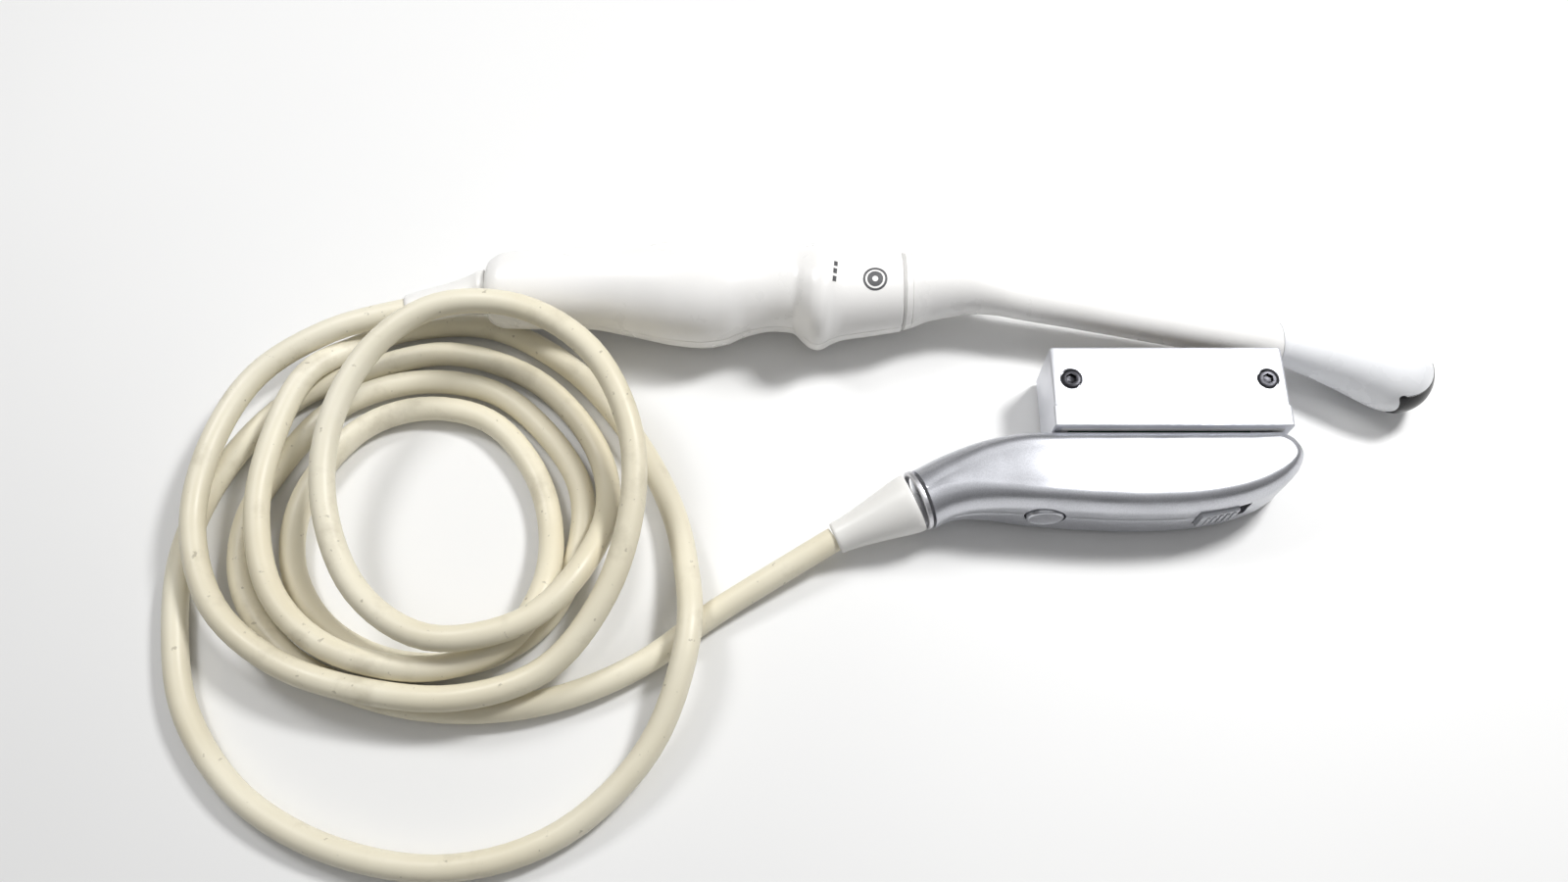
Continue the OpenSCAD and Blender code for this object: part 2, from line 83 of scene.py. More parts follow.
def monotone(xs, ys):
    """A monotone cubic through the points, as a function."""
    n = len(xs)
    d = [(ys[i + 1] - ys[i]) / (xs[i + 1] - xs[i]) for i in range(n - 1)]
    m = [d[0]] + [0.0] * (n - 2) + [d[-1]]
    for i in range(1, n - 1):
        if d[i - 1] * d[i] > 0:
            m[i] = 2 * d[i - 1] * d[i] / (d[i - 1] + d[i])

    def at(x):
        i = max(0, min(n - 2, next((k for k in range(n - 1) if x < xs[k + 1]), n - 2)))
        h = xs[i + 1] - xs[i]
        t = (x - xs[i]) / h
        return (
            (2 * t**3 - 3 * t**2 + 1) * ys[i]
            + (t**3 - 2 * t**2 + t) * h * m[i]
            + (-2 * t**3 + 3 * t**2) * ys[i + 1]
            + (t**3 - t**2) * h * m[i + 1]
        )

    return at


def steps(a, b, size):
    n = max(1, round(abs(b - a) / size))
    return [mix(a, b, k / n) for k in range(n + 1)]


def loft(rings, caps=True, closed_rows=False):
    """Vertices and faces that join rings of equal length."""
    n = len(rings[0])
    rows = len(rings)
    verts = [p for ring in rings for p in ring]
    faces = []
    for i in range(rows if closed_rows else rows - 1):
        j = (i + 1) % rows
        for k in range(n):
            q = (k + 1) % n
            faces.append((i * n + k, i * n + q, j * n + q, j * n + k))
    if caps:
        faces.append(tuple(reversed(range(n))))
        faces.append(tuple(range((rows - 1) * n, rows * n)))
    return verts, faces


def joined(*parts):
    verts, faces = [], []
    for v, f in parts:
        faces += [tuple(i + len(verts) for i in face) for face in f]
        verts += list(v)
    return verts, faces


def moved(part, matrix):
    return [matrix @ Vector(v) for v in part[0]], part[1]


def make(name, part, material, replaces=(), sharp=40, body=BODY):
    """A mesh object from vertices in millimetres, riding on a body."""
    mesh = bpy.data.meshes.new(name)
    mesh.from_pydata([Vector(v) * MM for v in part[0]], [], part[1])
    bm = bmesh.new()
    bm.from_mesh(mesh)
    bmesh.ops.remove_doubles(bm, verts=bm.verts, dist=1e-7)
    bmesh.ops.recalc_face_normals(bm, faces=bm.faces)
    bm.to_mesh(mesh)
    bm.free()
    obj = bpy.data.objects.new(name, mesh)
    bpy.context.scene.collection.objects.link(obj)
    if material is not None:
        mesh.materials.append(material)
        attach(obj, body)
    shade(obj, sharp)
    if replaces:
        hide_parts(*replaces)
    return obj


def shade(obj, sharp):
    mesh = obj.data
    mesh.polygons.foreach_set("use_smooth", [True] * len(mesh.polygons))
    mesh.set_sharp_from_angle(angle=math.radians(sharp))


def cut(obj, cutter_part, operation="DIFFERENCE", sharp=40):
    """Applies a boolean with a throwaway mesh."""
    cutter = make("cutter", cutter_part, None)
    modifier = obj.modifiers.new("cut", "BOOLEAN")
    modifier.operation = operation
    modifier.solver = "EXACT"
    modifier.object = cutter
    bpy.context.view_layer.update()
    graph = bpy.context.evaluated_depsgraph_get()
    mesh = bpy.data.meshes.new_from_object(obj.evaluated_get(graph))
    obj.modifiers.clear()
    obj.data = mesh
    bpy.data.objects.remove(cutter)
    shade(obj, sharp)


def circle(r, z, n=64):
    angles = [2 * math.pi * k / n for k in range(n)]
    return [Vector((r * math.cos(a), r * math.sin(a), z)) for a in angles]


def revolve(profile, n=64):
    """A solid of revolution about Z from (radius, height) pairs, each end closed."""
    return loft([circle(r, z, n) for r, z in profile])


def ring_solid(profile, n=96):
    """A ring about Z from a closed section of (radius, height) pairs."""
    return loft([circle(r, z, n) for r, z in profile], caps=False, closed_rows=True)


def place(x, y, z, yaw=0.0, pitch=0.0):
    return (
        Matrix.Translation((x, y, z))
        @ Matrix.Rotation(math.radians(yaw), 4, "Z")
        @ Matrix.Rotation(math.radians(pitch), 4, "Y")
    )


def refine(profile, times):
    """Splits each long stretch of a profile, so that shading stays smooth."""
    found = [profile[0]]
    for (r0, z0), (r1, z1) in zip(profile, profile[1:]):
        n = times if math.hypot(r1 - r0, z1 - z0) > 1.5 else 1
        found += [(mix(r0, r1, k / n), mix(z0, z1, k / n)) for k in range(1, n + 1)]
    return found


def rounded_rect(half_w, half_h, r, n=6):
    """Points round a rectangle with round corners, n steps a corner."""
    x, y = half_w - r, half_h - r
    found = []
    for quarter, (cx, cy) in enumerate(((x, y), (-x, y), (-x, -y), (x, -y))):
        for k in range(n + 1):
            a = math.radians(90 * quarter + 90 * k / n)
            found.append((cx + r * math.cos(a), cy + r * math.sin(a)))
    return found


def box_part(x0, x1, y0, y1, z0, z1):
    ring = [(x0, y0), (x1, y0), (x1, y1), (x0, y1)]
    return loft([[Vector((x, y, z)) for x, y in ring] for z in (z0, z1)])


# ---- materials ---------------------------------------------------------------
class Shader:
    """A principled material with its nodes at hand."""

    def __init__(self, name, roughness, metallic=0.0, **sockets):
        self.material = bpy.data.materials.new(name)
        self.material.use_nodes = True
        self.nodes = self.material.node_tree.nodes
        self.links = self.material.node_tree.links
        self.main = self.nodes["Principled BSDF"]
        self.main.inputs["Roughness"].default_value = roughness
        self.main.inputs["Metallic"].default_value = metallic
        for key, value in sockets.items():
            self.main.inputs[key.replace("_", " ")].default_value = value
        self.where = self.nodes.new("ShaderNodeTexCoord").outputs["Object"]

    def stretch(self, scale):
        node = self.nodes.new("ShaderNodeMapping")
        node.inputs["Scale"].default_value = scale
        self.links.new(self.where, node.inputs["Vector"])
        return node.outputs["Vector"]

    def noise(self, scale, detail=3.0, rough=0.5, vector=None):
        node = self.nodes.new("ShaderNodeTexNoise")
        node.inputs["Scale"].default_value = scale
        node.inputs["Detail"].default_value = detail
        node.inputs["Roughness"].default_value = rough
        self.links.new(vector or self.where, node.inputs["Vector"])
        return node.outputs["Fac"]

    def cells(self, scale, vector=None, output="Distance"):
        node = self.nodes.new("ShaderNodeTexVoronoi")
        node.inputs["Scale"].default_value = scale
        self.links.new(vector or self.where, node.inputs["Vector"])
        return node.outputs[output]

    def ramp(self, fac, stops):
        node = self.nodes.new("ShaderNodeValToRGB")
        ramp = node.color_ramp
        while len(ramp.elements) < len(stops):
            ramp.elements.new(0.5)
        for element, (at, colour) in zip(ramp.elements, stops):
            element.position = at
            element.color = (*colour, 1)
        self.links.new(fac, node.inputs["Fac"])
        return node.outputs["Color"]

    def blend(self, fac, a, b, kind="MIX"):
        node = self.nodes.new("ShaderNodeMix")
        node.data_type = "RGBA"
        node.blend_type = kind
        sockets = [s for s in node.inputs if s.enabled]
        for socket, value in zip(sockets, (fac, a, b)):
            if hasattr(value, "links"):
                self.links.new(value, socket)
            else:
                socket.default_value = value if not isinstance(value, tuple) else (*value, 1)
        return next(s for s in node.outputs if s.enabled)

    def range(self, value, low, high, to_low, to_high):
        node = self.nodes.new("ShaderNodeMapRange")
        for key, number in zip(("From Min", "From Max", "To Min", "To Max"), (low, high, to_low, to_high)):
            node.inputs[key].default_value = number
        self.links.new(value, node.inputs["Value"])
        return node.outputs["Result"]

    def colour(self, value):
        self.links.new(value, self.main.inputs["Base Color"])

    def roughness(self, value):
        self.links.new(value, self.main.inputs["Roughness"])

    def bump(self, *heights):
        """Bumps from (height, strength, distance in metres), one over another."""
        last = None
        for height, strength, distance in heights:
            node = self.nodes.new("ShaderNodeBump")
            node.inputs["Strength"].default_value = strength
            node.inputs["Distance"].default_value = distance
            self.links.new(height, node.inputs["Height"])
            if last is not None:
                self.links.new(last, node.inputs["Normal"])
            last = node.outputs["Normal"]
        self.links.new(last, self.main.inputs["Normal"])


def moulded(name, light, dark, roughness, grain=900, grain_depth=0.00002, patch=25, **sockets):
    """Moulded plastic or rubber: faint clouding, a fine skin and uneven gloss."""
    s = Shader(name, roughness, **sockets)
    s.colour(s.ramp(s.noise(patch, 4), [(0.35, dark), (0.65, light)]))
    s.roughness(s.range(s.noise(patch * 3, 5), 0.3, 0.7, roughness - 0.06, roughness + 0.08))
    s.bump((s.noise(grain, 2), 0.25, grain_depth), (s.noise(patch * 1.5, 1), 0.15, 0.0001))
    return s.material


def jacket():
    """Aged ivory cable jacket: yellowed clouds, handling grime and small specks."""
    s = Shader("cable_jacket_ivory", 0.42, Specular_IOR_Level=0.45)
    aged = [(0.3, (0.70, 0.64, 0.48)), (0.55, (0.80, 0.755, 0.61)), (0.8, (0.86, 0.82, 0.70))]
    base = s.ramp(s.noise(14, 4), aged)
    grime = s.range(s.noise(55, 6, 0.62), 0.56, 0.72, 0.0, 0.55)
    dirty = s.blend(grime, base, (0.50, 0.45, 0.33))
    specks = s.range(s.noise(420, 2, 0.5), 0.70, 0.76, 0.0, 0.55)
    s.colour(s.blend(specks, dirty, (0.30, 0.26, 0.19)))
    s.roughness(s.range(s.noise(60, 5), 0.3, 0.7, 0.34, 0.52))
    s.bump((s.noise(700, 3), 0.2, 0.00003), (s.noise(90, 3), 0.2, 0.00012))
    return s.material


def metal_paint(name, light, dark, roughness, metallic, flake=2600):
    """Satin metallic paint: fine flakes, faint clouding and tiny scuffs."""
    s = Shader(name, roughness, metallic, Coat_Weight=0.25, Coat_Roughness=0.2)
    clouds = s.ramp(s.noise(30, 4), [(0.3, dark), (0.7, light)])
    flakes = s.cells(flake, output="Color")
    sparkle = s.range(s.noise(flake, 1), 0.35, 0.65, 0.88, 1.1)
    s.colour(s.blend(0.6, clouds, s.blend(1.0, clouds, sparkle, "MULTIPLY")))
    s.roughness(s.range(s.noise(75, 5), 0.3, 0.7, roughness - 0.05, roughness + 0.07))
    s.bump((flakes, 0.05, 0.00001), (s.noise(1200, 2), 0.12, 0.00001))
    return s.material


def worn_metal(name, light, dark, roughness, metallic=1.0, along=(1, 14, 14), scale=220):
    """Machined or rolled metal: fine lines one way, and uneven gloss."""
    s = Shader(name, roughness, metallic)
    lines = s.noise(scale, 4, 0.6, s.stretch(along))
    s.colour(s.ramp(lines, [(0.35, dark), (0.65, light)]))
    s.roughness(s.range(s.noise(90, 4), 0.3, 0.7, roughness - 0.06, roughness + 0.1))
    s.bump((lines, 0.12, 0.00002))
    return s.material


def blasted():
    """Bead-blasted aluminium with a faint sheen of handling."""
    s = Shader("nose_blasted_metal", 0.42, 0.7)
    s.colour(s.ramp(s.noise(45, 5), [(0.3, (0.70, 0.71, 0.76)), (0.7, (0.80, 0.81, 0.85))]))
    s.roughness(s.range(s.noise(60, 5), 0.3, 0.7, 0.40, 0.56))
    s.bump((s.noise(2600, 2), 0.3, 0.00002), (s.noise(30, 3), 0.08, 0.0001))
    return s.material


def circuit_board():
    """Solder mask over faint copper lines."""
    s = Shader("board_solder_mask", 0.3, Coat_Weight=0.4)
    edges = s.cells(420, s.stretch((1, 2.2, 1)))
    mask = s.ramp(s.noise(60, 3), [(0.3, (0.03, 0.17, 0.08)), (0.7, (0.05, 0.26, 0.12))])
    traces = s.range(edges, 0.0, 0.12, 0.5, 0.0)
    s.colour(s.blend(traces, mask, (0.10, 0.38, 0.18)))
    s.bump((edges, 0.2, 0.00003))
    return s.material


def braid():
    """Fine braid over a bundle of coaxial wires."""
    s = Shader("wire_braid", 0.5, 0.35)
    edges = s.cells(1500)
    s.colour(s.ramp(edges, [(0.1, (0.34, 0.36, 0.40)), (0.6, (0.16, 0.17, 0.19))]))
    s.bump((edges, 0.5, 0.0001))
    return s.material


def make_materials():
    """Every finish by its slot's name, and two more: the collar's satin metal and the print's ink."""
    white = ((0.90, 0.89, 0.875), (0.86, 0.85, 0.83))
    return {
        "white_shell": moulded("handle_white_satin", *white, 0.30, Coat_Weight=0.12, Coat_Roughness=0.25),
        "head_white": moulded("head_cool_white", (0.87, 0.88, 0.90), (0.83, 0.84, 0.86), 0.24, 1400),
        "lens_black": moulded(
            "lens_silicone_black", (0.016, 0.016, 0.018), (0.009, 0.009, 0.01), 0.2, 1800, 0.000006,
            Specular_IOR_Level=0.3,
        ),
        "seal_grey": moulded("seam_silicone", (0.66, 0.655, 0.64), (0.56, 0.555, 0.54), 0.5),
        "boot_white": moulded("boot_moulded_white", (0.87, 0.86, 0.835), (0.81, 0.80, 0.77), 0.36, 700),
        "cable_ivory": jacket(),
        "silver_cover": metal_paint("cover_silver_paint", (0.66, 0.67, 0.71), (0.57, 0.58, 0.62), 0.33, 0.85),
        "nose_metal": blasted(),
        "black_steel": worn_metal("screw_black_oxide", (0.03, 0.03, 0.034), (0.01, 0.01, 0.012), 0.3, 0.9),
        "steel": worn_metal("steel_plain", (0.66, 0.66, 0.67), (0.48, 0.48, 0.5), 0.28),
        "collar_satin": worn_metal("neck_collar_satin", (0.80, 0.80, 0.82), (0.66, 0.66, 0.69), 0.42),
        "slider_grey": metal_paint("slider_grey_paint", (0.46, 0.47, 0.50), (0.36, 0.37, 0.40), 0.38, 0.6),
        "insulator": moulded("insulator_dark", (0.05, 0.055, 0.06), (0.03, 0.033, 0.04), 0.45),
        "gold": worn_metal("contact_gold", (0.90, 0.68, 0.28), (0.74, 0.52, 0.18), 0.22),
        "board_green": circuit_board(),
        "chip_black": moulded("chip_epoxy", (0.035, 0.035, 0.037), (0.02, 0.02, 0.022), 0.5),
        "socket_beige": moulded("socket_nylon", (0.76, 0.70, 0.56), (0.66, 0.60, 0.46), 0.45),
        "wire_grey": braid(),
        "flex_amber": moulded("flex_polyimide", (0.72, 0.36, 0.07), (0.58, 0.27, 0.05), 0.25, 1200),
        "chassis_grey": moulded("chassis_grey_plastic", (0.58, 0.58, 0.58), (0.48, 0.48, 0.48), 0.5),
        "ceramic_tan": moulded("array_ceramic", (0.62, 0.54, 0.36), (0.50, 0.43, 0.27), 0.4, 1600),
        "backing_dark": moulded("backing_epoxy", (0.12, 0.13, 0.14), (0.07, 0.08, 0.09), 0.55),
        "ink": moulded("print_ink", (0.05, 0.05, 0.055), (0.09, 0.09, 0.095), 0.45, 1500),
    }


# ---- camera and cord ---------------------------------------------------------
def make_camera():
    data = bpy.data.cameras.new("camera")
    data.sensor_width = 36
    data.lens = 29.25
    camera = bpy.data.objects.new("camera", data)
    camera.location = (-0.040, -0.186, 0.3626)
    camera.rotation_euler = (math.radians(23), 0, 0)
    bpy.context.scene.collection.objects.link(camera)
    bpy.context.scene.camera = camera


# the cable's route in metres, from the handle's boot to the connector's boot
ROUTE = [
    (-0.1566, 0.0057, 0.015), (-0.180, -0.001, 0.014), (-0.201, -0.015, 0.012), (-0.211, -0.038, 0.012),
    (-0.212, -0.064, 0.012), (-0.202, -0.088, 0.012), (-0.182, -0.104, 0.012), (-0.157, -0.112, 0.012),
    (-0.130, -0.114, 0.012), (-0.106, -0.106, 0.013), (-0.090, -0.086, 0.018), (-0.083, -0.061, 0.023),
    (-0.085, -0.037, 0.026), (-0.097, -0.015, 0.029), (-0.118, -0.002, 0.031), (-0.143, -0.001, 0.030),
    (-0.162, -0.014, 0.027), (-0.172, -0.037, 0.024), (-0.171, -0.062, 0.021), (-0.159, -0.086, 0.020),
    (-0.138, -0.099, 0.020), (-0.113, -0.095, 0.020), (-0.098, -0.079, 0.017), (-0.092, -0.056, 0.008),
    (-0.099, -0.033, 0.004), (-0.118, -0.013, 0.004), (-0.145, -0.004, 0.004), (-0.171, -0.010, 0.004),
    (-0.193, -0.021, 0.004), (-0.209, -0.042, 0.004), (-0.217, -0.068, 0.004), (-0.215, -0.094, 0.004),
    (-0.207, -0.118, 0.004), (-0.188, -0.140, 0.004), (-0.160, -0.154, 0.004), (-0.129, -0.158, 0.004),
    (-0.100, -0.149, 0.004), (-0.077, -0.127, 0.008), (-0.067, -0.098, 0.013), (-0.069, -0.072, 0.007),
    (-0.076, -0.050, 0.004), (-0.090, -0.027, 0.004), (-0.108, -0.008, 0.004), (-0.132, 0.005, 0.004),
    (-0.157, 0.005, 0.004), (-0.173, -0.003, 0.007), (-0.186, -0.015, 0.012), (-0.193, -0.036, 0.012),
    (-0.194, -0.060, 0.012), (-0.186, -0.084, 0.012), (-0.168, -0.100, 0.012), (-0.142, -0.106, 0.012),
    (-0.120, -0.100, 0.012), (-0.109, -0.084, 0.012), (-0.109, -0.063, 0.005), (-0.116, -0.043, 0.004),
    (-0.131, -0.027, 0.004), (-0.152, -0.023, 0.004), (-0.171, -0.031, 0.004), (-0.184, -0.052, 0.004),
    (-0.184, -0.074, 0.004), (-0.172, -0.092, 0.004), (-0.152, -0.102, 0.004), (-0.129, -0.102, 0.004),
    (-0.110, -0.091, 0.004), (-0.101, -0.071, 0.004), (-0.101, -0.050, 0.004), (-0.113, -0.031, 0.004),
    (-0.131, -0.017, 0.004), (-0.155, -0.014, 0.004), (-0.177, -0.022, 0.004), (-0.191, -0.039, 0.004),
    (-0.200, -0.060, 0.004), (-0.197, -0.082, 0.004), (-0.181, -0.101, 0.004), (-0.157, -0.112, 0.004),
    (-0.131, -0.116, 0.004), (-0.105, -0.113, 0.004), (-0.081, -0.103, 0.004), (-0.059, -0.087, 0.004),
    (-0.0252, -0.0667, 0.008),
]
CABLE_R = 3.7
CABLE_LIFT = 0.05
CABLE_PER_SPAN = 6
CABLE_SIDES = 22


def curve_through(points, per_span):
    """A smooth curve through the points, as many points a span as asked."""
    found = []
    for i in range(len(points) - 1):
        p0, p1 = Vector(points[max(i - 1, 0)]), Vector(points[i])
        p2, p3 = Vector(points[i + 1]), Vector(points[min(i + 2, len(points) - 1)])
        for k in range(per_span):
            t = k / per_span
            a, b = (p2 - p0) * 0.5, (p3 - p1) * 0.5
            found.append(
                p1 * (2 * t**3 - 3 * t**2 + 1) + a * (t**3 - 2 * t**2 + t)
                + p2 * (3 * t**2 - 2 * t**3) + b * (t**3 - t**2)
            )
    return found + [Vector(points[-1])]


def tube_along(path, radius, sides):
    """A closed tube of rings square to the path, turned as little as can be."""
    rings, side = [], None
    for i, point in enumerate(path):
        heading = (path[min(i + 1, len(path) - 1)] - path[max(i - 1, 0)]).normalized()
        side = Vector((0, 0, 1)).cross(heading) if side is None else side
        side = (side - heading * side.dot(heading)).normalized()
        up = heading.cross(side)
        angles = [2 * math.pi * k / sides for k in range(sides)]
        rings.append([point + (side * math.cos(a) + up * math.sin(a)) * radius for a in angles])
    return loft(rings)


def make_cable(mats):
    path = curve_through([Vector(p) / MM for p in ROUTE], CABLE_PER_SPAN)
    for p in path:
        p.z = max(p.z, CABLE_R + CABLE_LIFT)
    tube = tube_along(path, CABLE_R, CABLE_SIDES)
    cable = make("cable_jacket", tube, mats["cable_ivory"], ["cable"])
    return cable, [tuple(p * MM) for p in path]


# ---- probe -------------------------------------------------------------------
def profile_of(table):
    """A table's shift and radius as functions of the distance."""
    xs = [s[0] for s in table]
    return monotone(xs, [s[1] for s in table]), monotone(xs, [s[2] for s in table])


HANDLE_SHIFT, HANDLE_R = profile_of(HANDLE)
TUBE_SHIFT, TUBE_R = profile_of(TUBE)


def axis_z(x):
    return HANDLE_Z if x < HANDLE_LEN else mix(HANDLE_Z, HEAD_Z, (x - HANDLE_LEN) / (HEAD_X - HANDLE_LEN))


def round_point(x, angle, shift, radius, lean=0.0):
    return Vector((
        PX + x + lean * math.cos(angle),
        PY + shift + radius * math.cos(angle),
        axis_z(x) + radius * math.sin(angle),
    ))


def ridge_lean(x):
    """How far the ridge ring leans towards the tip on its far side."""
    return 1.6 * smooth((x - 92) / 9) * smooth((114 - x) / 9)


def handle_point(x, angle, inset=0.0):
    return round_point(x, angle, HANDLE_SHIFT(x), HANDLE_R(x) - inset, ridge_lean(x))


HALF_SIDES = 48
HANDLE_WALL = 2.2
TUBE_WALL = 1.3
PART_GROOVE = 0.22


def handle_half(lower):
    """One closed half shell with a rounded meeting edge along the parting line."""
    start = math.pi if lower else 0.0
    xs = [0, 0.25, 0.6, 1.0, 1.5, 2.2, 3, 4] + steps(5, 92, 1.5) + steps(92.75, 112, 0.75)
    xs += steps(113, 126.6, 1.4) + [127.1, 127.4]
    rings = []
    for x in xs:
        end_inset = 0.35 * (x > 127.3)
        ring = []
        for k in range(HALF_SIDES + 1):
            angle = start + math.pi * k / HALF_SIDES
            near_edge = min(k, HALF_SIDES - k)
            ring.append(handle_point(x, angle, end_inset + PART_GROOVE * (near_edge == 0)))
            if near_edge == 0:
                extra = start + math.pi * (k + (0.25 if k == 0 else -0.25)) / HALF_SIDES
                where = len(ring) if k == 0 else len(ring) - 1
                ring.insert(where, handle_point(x, extra, end_inset))
        for k in reversed(range(HALF_SIDES + 1)):
            ring.append(handle_point(x, start + math.pi * k / HALF_SIDES, HANDLE_WALL))
        rings.append(ring)
    return loft(rings)


def full_ring(x, shift, radius, n=96):
    return [round_point(x, 2 * math.pi * k / n, shift, radius) for k in range(n)]


def hollow(stations, wall):
    """A thick tube, open at both ends, from (x, shift, radius)."""
    outer = [full_ring(*s) for s in stations]
    inner = [full_ring(x, shift, radius - wall) for x, shift, radius in reversed(stations)]
    return loft(outer + inner, caps=False, closed_rows=True)


def tube_stations():
    """The tube's rings, with a fine groove 2 mm behind the seam."""
    xs = [128.2, 128.5, 129, 129.6, 130.1, 130.3, 130.5, 130.8, 131.4] + steps(132.5, 180, 1.4)
    xs += steps(183, 241, 2.5) + [242.5, TUBE_END]
    found = []
    for x in xs:
        groove = 0.25 if 130.2 < x < 130.4 else 0.0
        ends = 0.3 if x < 128.3 else 0.12 if x == TUBE_END else 0.0
        found.append((x, TUBE_SHIFT(x), TUBE_R(x) - groove - ends))
    return found


def head_stations():
    """The head's rings, ending in a rounded tip."""
    found = [(HEAD_START, TUBE_SHIFT(HEAD_START), TUBE_R(HEAD_START) - 0.12)]
    found += [(x, TUBE_SHIFT(x), TUBE_R(x)) for x in [243.5] + steps(244.5, HEAD_X, 1.1)]
    shift, radius = TUBE_SHIFT(HEAD_X), TUBE_R(HEAD_X)
    for k in range(1, 25):
        a = math.radians(90 * k / 24.3)
        found.append((HEAD_X + TIP_LEN * math.sin(a), shift, radius * math.cos(a)))
    return found


def tip_solid(inset):
    return loft([full_ring(x, shift, max(radius - inset, 0.05)) for x, shift, radius in head_stations()])


# the window, in the array's frame: a bar from WINDOW_START outwards, and the lens in it
HEAD_CENTRE = (PX + HEAD_X, PY + TUBE_SHIFT(HEAD_X), HEAD_Z)
LENS_YAW = -45
LENS_HALF_W, LENS_H, WINDOW_CORNER, WINDOW_START = 8.6, 12.0, 1.6, 4.5
LENS_PROUD, LENS_GAP, LENS_INNER_R = 0.22, 0.06, 7.45
HEAD_WALL, TIP_WALL = 1.3, 1.6


def lens_prism(grow, reach=24.0):
    """A rounded bar through the window, square to the array's face."""
    half_w, half_h, r = LENS_HALF_W + grow, LENS_H / 2 + grow, WINDOW_CORNER + grow
    outline = rounded_rect(half_w, half_h, r, 8)
    array = place(*HEAD_CENTRE, LENS_YAW)
    return loft([[array @ Vector((x, y, z)) for y, z in outline] for x in (WINDOW_START, reach)])


def head_hollow():
    """The space inside the head, from just behind its start to behind the tip."""
    last = HEAD_X + TIP_LEN - TIP_WALL
    stations = [(min(x, last), shift, r) for x, shift, r in head_stations()[1:-5]]
    start = (HEAD_START - 1, TUBE_SHIFT(243), 6.7)
    return loft([full_ring(x, shift, max(r - HEAD_WALL, 0.05)) for x, shift, r in [start] + stations])


def make_head(mats):
    head = make("head_skin", tip_solid(0.0), mats["head_white"], ["head_shell"])
    cut(head, head_hollow())
    cut(head, lens_prism(0.0))
    lens = make("lens_skin", tip_solid(-LENS_PROUD), mats["lens_black"], ["acoustic_lens"])
    cut(lens, lens_prism(-LENS_GAP), "INTERSECT")
    cut(lens, moved(revolve([(LENS_INNER_R, -8), (LENS_INNER_R, 8)], 96), place(*HEAD_CENTRE)))


def make_collar_trim(mats):
    bead = [(9.9, 0.02), (11.7, 0.02), (11.95, 0.2), (11.98, 0.4), (11.95, 0.6), (11.7, 0.78), (9.9, 0.78)]
    seam = place(PX + 127.4, PY - 0.1, HANDLE_Z, 0, 90)
    make("seam_bead", moved(ring_solid(bead), seam), mats["seal_grey"], ["seam_ring"])
    tab = [
        (0.02, 0.0), (0.7, 0.15), (1.1, 0.55), (1.28, 1.2), (1.3, 3), (1.28, 4.8), (1.1, 5.45), (0.7, 5.85),
        (0.02, 6),
    ]
    beside = place(PX + 116, PY + 12.2, HANDLE_Z + 1, 0, 90)
    make("guide_tab_round", moved(revolve(tab, 32), beside), mats["white_shell"], ["guide_tab"])


def make_handle_boot(mats):
    boot = [
        (0.02, -5), (6.0, -5), (6.15, -4.8), (6.15, -2.4), (6.1, 0), (6.9, 0.15), (7.0, 0.5), (7.0, 2.1),
        (6.9, 2.5), (6.5, 3.6), (6.1, 5.5), (5.7, 8.5), (5.35, 12), (5.1, 16), (4.9, 20), (4.7, 23.5),
        (4.55, 25), (4.3, 25.7), (3.9, 26), (0.02, 26),
    ]
    where = place(PX, PY, HANDLE_Z, 12, -94)
    make(
        "handle_boot_skin", moved(revolve(refine(boot, 2)), where), mats["boot_white"],
        ["handle_boot"],
    )


def make_probe(mats):
    white = mats["white_shell"]
    make("handle_top", handle_half(False), white, ["handle_upper_shell"])
    make("handle_bottom", handle_half(True), white, ["handle_lower_shell"])
    make_collar_trim(mats)
    make("tube_skin", hollow(tube_stations(), TUBE_WALL), white, ["insertion_tube"])
    make_head(mats)
    make_handle_boot(mats)


# ---- print on the collar: a plain ring mark and plain dashes ---------------------
MARK_X, MARK_ANGLE = 118.6, 99.0
DASH_X, DASH_ANGLE = 106.5, 90.0


def ink_point(x0, angle0, along, around, lift):
    x = x0 + along
    radius = HANDLE_R(x)
    return handle_point(x, math.radians(angle0) - around / radius, -lift)


def ink_ring(r0, r1, x0, angle0, n=64):
    rings = []
    for k in range(n):
        a = 2 * math.pi * k / n
        section = [(r0, 0.05), ((r0 + r1) / 2, 0.06), (r1, 0.05), (r1, -0.05), (r0, -0.05)]
        rings.append([ink_point(x0, angle0, r * math.cos(a), r * math.sin(a), lift) for r, lift in section])
    return loft(rings, caps=False, closed_rows=True)


def ink_bar(x0, angle0, along, around, width, length):
    """A bar of print that runs round the handle."""
    rings = []
    for k in range(9):
        v = around + length * (k / 8 - 0.5)
        section = [(-width / 2, 0.05), (0, 0.06), (width / 2, 0.05), (width / 2, -0.05), (-width / 2, -0.05)]
        rings.append([ink_point(x0, angle0, along + u, v, lift) for u, lift in section])
    return loft(rings)


def make_print(mats):
    mark = joined(ink_ring(3.0, 3.7, MARK_X, MARK_ANGLE), ink_ring(0.9, 2.4, MARK_X, MARK_ANGLE))
    make("ring_mark", mark, mats["ink"])
    dashes = joined(*[ink_bar(DASH_X, DASH_ANGLE, 0, v, 1.1, 1.7) for v in (-2.6, 0, 2.6)])
    make("dash_mark", dashes, mats["ink"])


